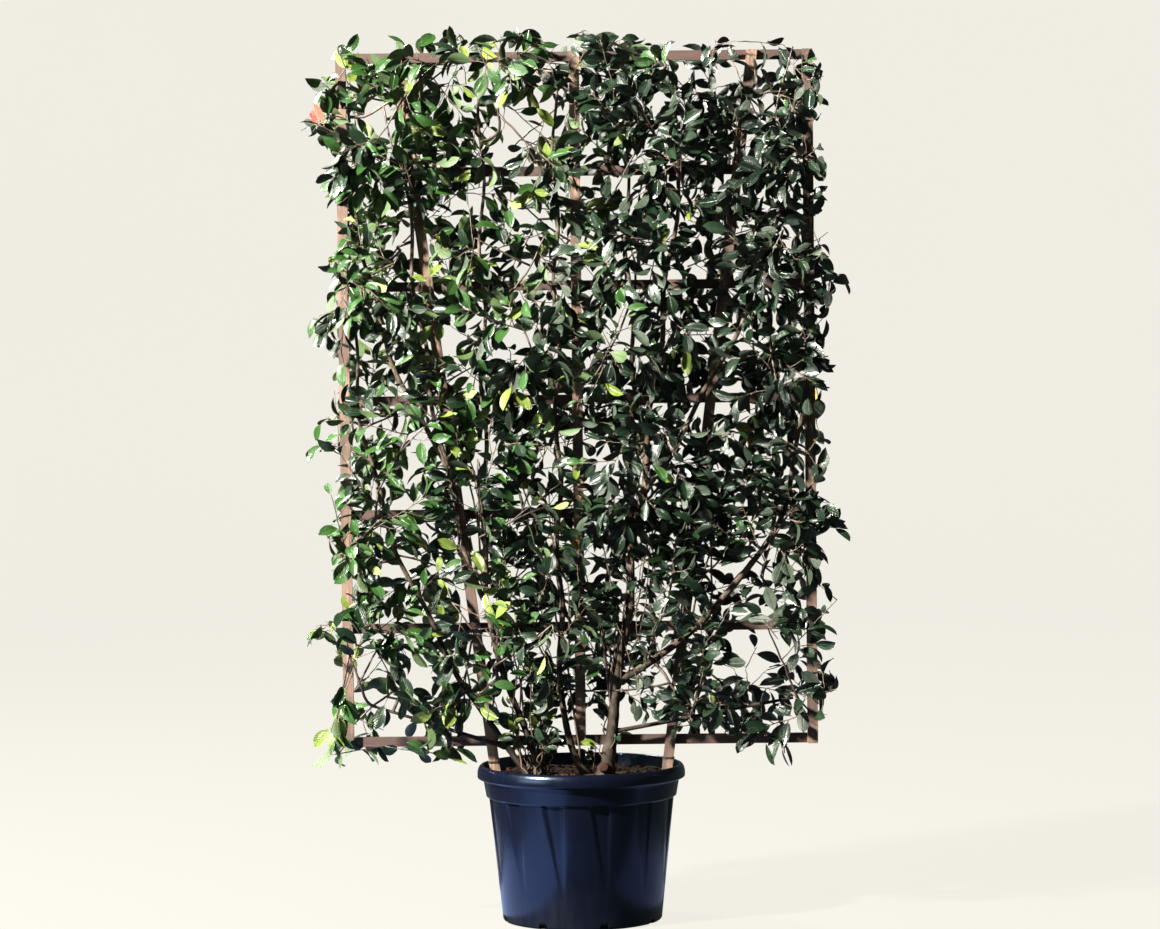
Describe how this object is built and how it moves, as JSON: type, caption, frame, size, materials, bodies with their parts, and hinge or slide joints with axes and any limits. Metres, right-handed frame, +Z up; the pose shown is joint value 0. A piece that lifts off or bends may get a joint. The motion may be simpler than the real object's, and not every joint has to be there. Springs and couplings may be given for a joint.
{
  "type": "potted espaliered photinia on a lath trellis",
  "caption": "Evergreen shrub trained flat on a wooden lath trellis, with fanned stems and masses of glossy leaves, standing in a round ribbed plastic pot of soil.",
  "frame": {"origin": "middle of the flat underside of the pot", "axes": "+Z up along the stems, +X along the width of the trellis, the front at -Y, where the upright laths stand before the level ones"},
  "size_m": [1.3897, 0.5256, 2.238],
  "materials": {
    "pot_plastic": "dark navy blue moulded plastic with a satin sheen",
    "soil": "dark brown potting soil with bark pieces",
    "lath_wood": "rough sawn reddish brown laths",
    "bark": "grey-brown bark, smooth on the young wood",
    "foliage": "glossy dark green leaves, some bright yellow-green, a few red"
  },
  "bodies": {
    "root": {"bough_left_bottom": "bark", "bough_left_high": "bark", "bough_left_inner": "bark", "bough_right_bottom": "bark", "bough_right_high": "bark", "bough_right_inner": "bark", "bough_right_mid": "bark", "foliage_back_1_1": "foliage", "foliage_back_1_2": "foliage", "foliage_back_1_3": "foliage", "foliage_back_2_1": "foliage", "foliage_back_2_2": "foliage", "foliage_back_2_3": "foliage", "foliage_back_3_1": "foliage", "foliage_back_3_2": "foliage", "foliage_back_3_3": "foliage", "foliage_back_4_1": "foliage", "foliage_back_4_2": "foliage", "foliage_back_4_3": "foliage", "foliage_back_5_1": "foliage", "foliage_back_5_2": "foliage", "foliage_back_5_3": "foliage", "foliage_front_1_1": "foliage", "foliage_front_1_2": "foliage", "foliage_front_1_3": "foliage", "foliage_front_1_4": "foliage", "foliage_front_2_1": "foliage", "foliage_front_2_2": "foliage", "foliage_front_2_3": "foliage", "foliage_front_2_4": "foliage", "foliage_front_3_1": "foliage", "foliage_front_3_2": "foliage", "foliage_front_3_3": "foliage", "foliage_front_3_4": "foliage", "foliage_front_4_1": "foliage", "foliage_front_4_2": "foliage", "foliage_front_4_3": "foliage", "foliage_front_4_4": "foliage", "leg_left": "lath_wood", "leg_right": "lath_wood", "post_left": "lath_wood", "post_middle": "lath_wood", "post_right": "lath_wood", "pot": "pot_plastic", "rail_1": "lath_wood", "rail_2": "lath_wood", "rail_3": "lath_wood", "rail_4": "lath_wood", "rail_5": "lath_wood", "rail_6": "lath_wood", "rail_7": "lath_wood", "soil": "soil", "stem_left": "bark", "stem_left_low": "bark", "stem_middle": "bark", "stem_right": "bark"}
  },
  "joints": []
}
